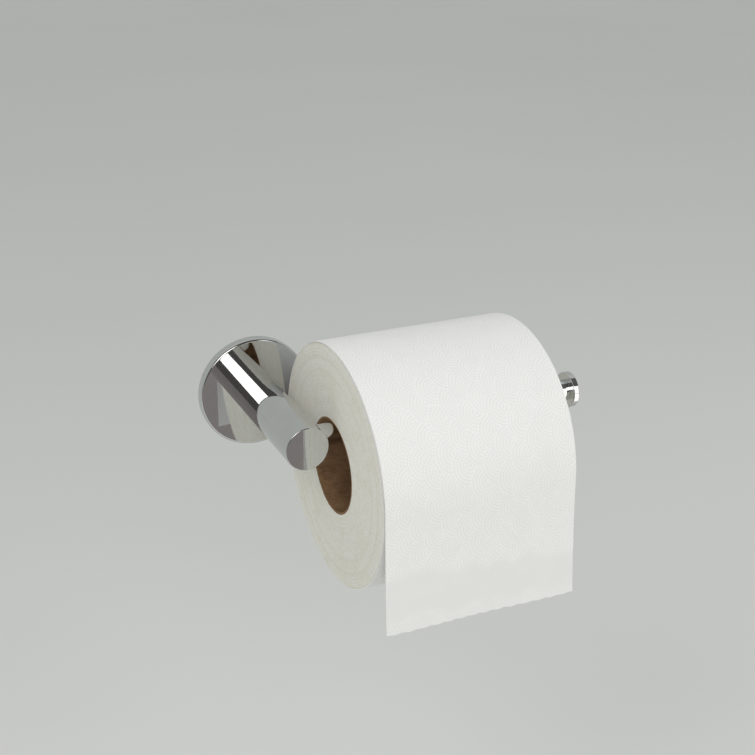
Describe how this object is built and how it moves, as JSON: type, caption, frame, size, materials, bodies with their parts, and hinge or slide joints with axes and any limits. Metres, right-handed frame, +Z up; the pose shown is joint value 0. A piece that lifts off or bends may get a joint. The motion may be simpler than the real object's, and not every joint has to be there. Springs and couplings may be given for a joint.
{
  "type": "toilet paper holder",
  "caption": "Wall-mounted toilet paper holder: round rose, post and side bar with an end knob, carrying a paper roll that turns, unrolls its sheet and lifts off over the knob.",
  "frame": {"origin": "centre of the wall bracket's back face, on the wall", "axes": "+Y into the wall, +X along the bar from the post to the knob, +Z up"},
  "size_m": [0.1706, 0.1254, 0.1157],
  "materials": {
    "chrome": "polished",
    "zinc_plate": "satin",
    "steel": "satin",
    "brass": "satin",
    "cardboard": "matte",
    "tissue_roll": "matte",
    "tissue_sheet": "matte"
  },
  "bodies": {
    "holder": {"wall_bracket": "zinc_plate", "rose": "chrome", "grub_screw": "steel", "rose_screw": "steel", "lock_washer": "steel", "locating_pin": "steel", "post_tube": "chrome", "post_base_plug": "brass", "bar_anchor": "brass", "bar_stud": "steel", "bar_tube": "chrome", "bar_inner_plug": "brass", "bar_outer_plug": "brass", "end_knob": "chrome", "knob_stud": "steel"},
    "free_end": {"paper_lead": "tissue_sheet"},
    "roll": {"core_tube": "cardboard", "wound_paper": "tissue_roll"},
    "tail": {"paper_tail": "tissue_sheet"}
  },
  "joints": [
    {"name": "roll_slide", "type": "slide", "parent": "holder", "child": "free_end", "axis": [0.9874, 0, 0.158], "range_m": [0, 0.148]},
    {"name": "roll_spin", "type": "hinge", "parent": "free_end", "child": "roll", "pos_m": [0.0631, -0.0636, -0.01645], "axis": [1, 0, 0], "range_deg": [-30, 120]},
    {"name": "paper_pull", "type": "slide", "parent": "free_end", "child": "tail", "axis": [0, 0, -1], "range_m": [-0.0305, 0.1216], "deforming": ["paper_tail"]}
  ],
  "couplings": [
    {"joint": "paper_pull", "follows": "roll_spin", "m_per_rad": 0.058}
  ]
}
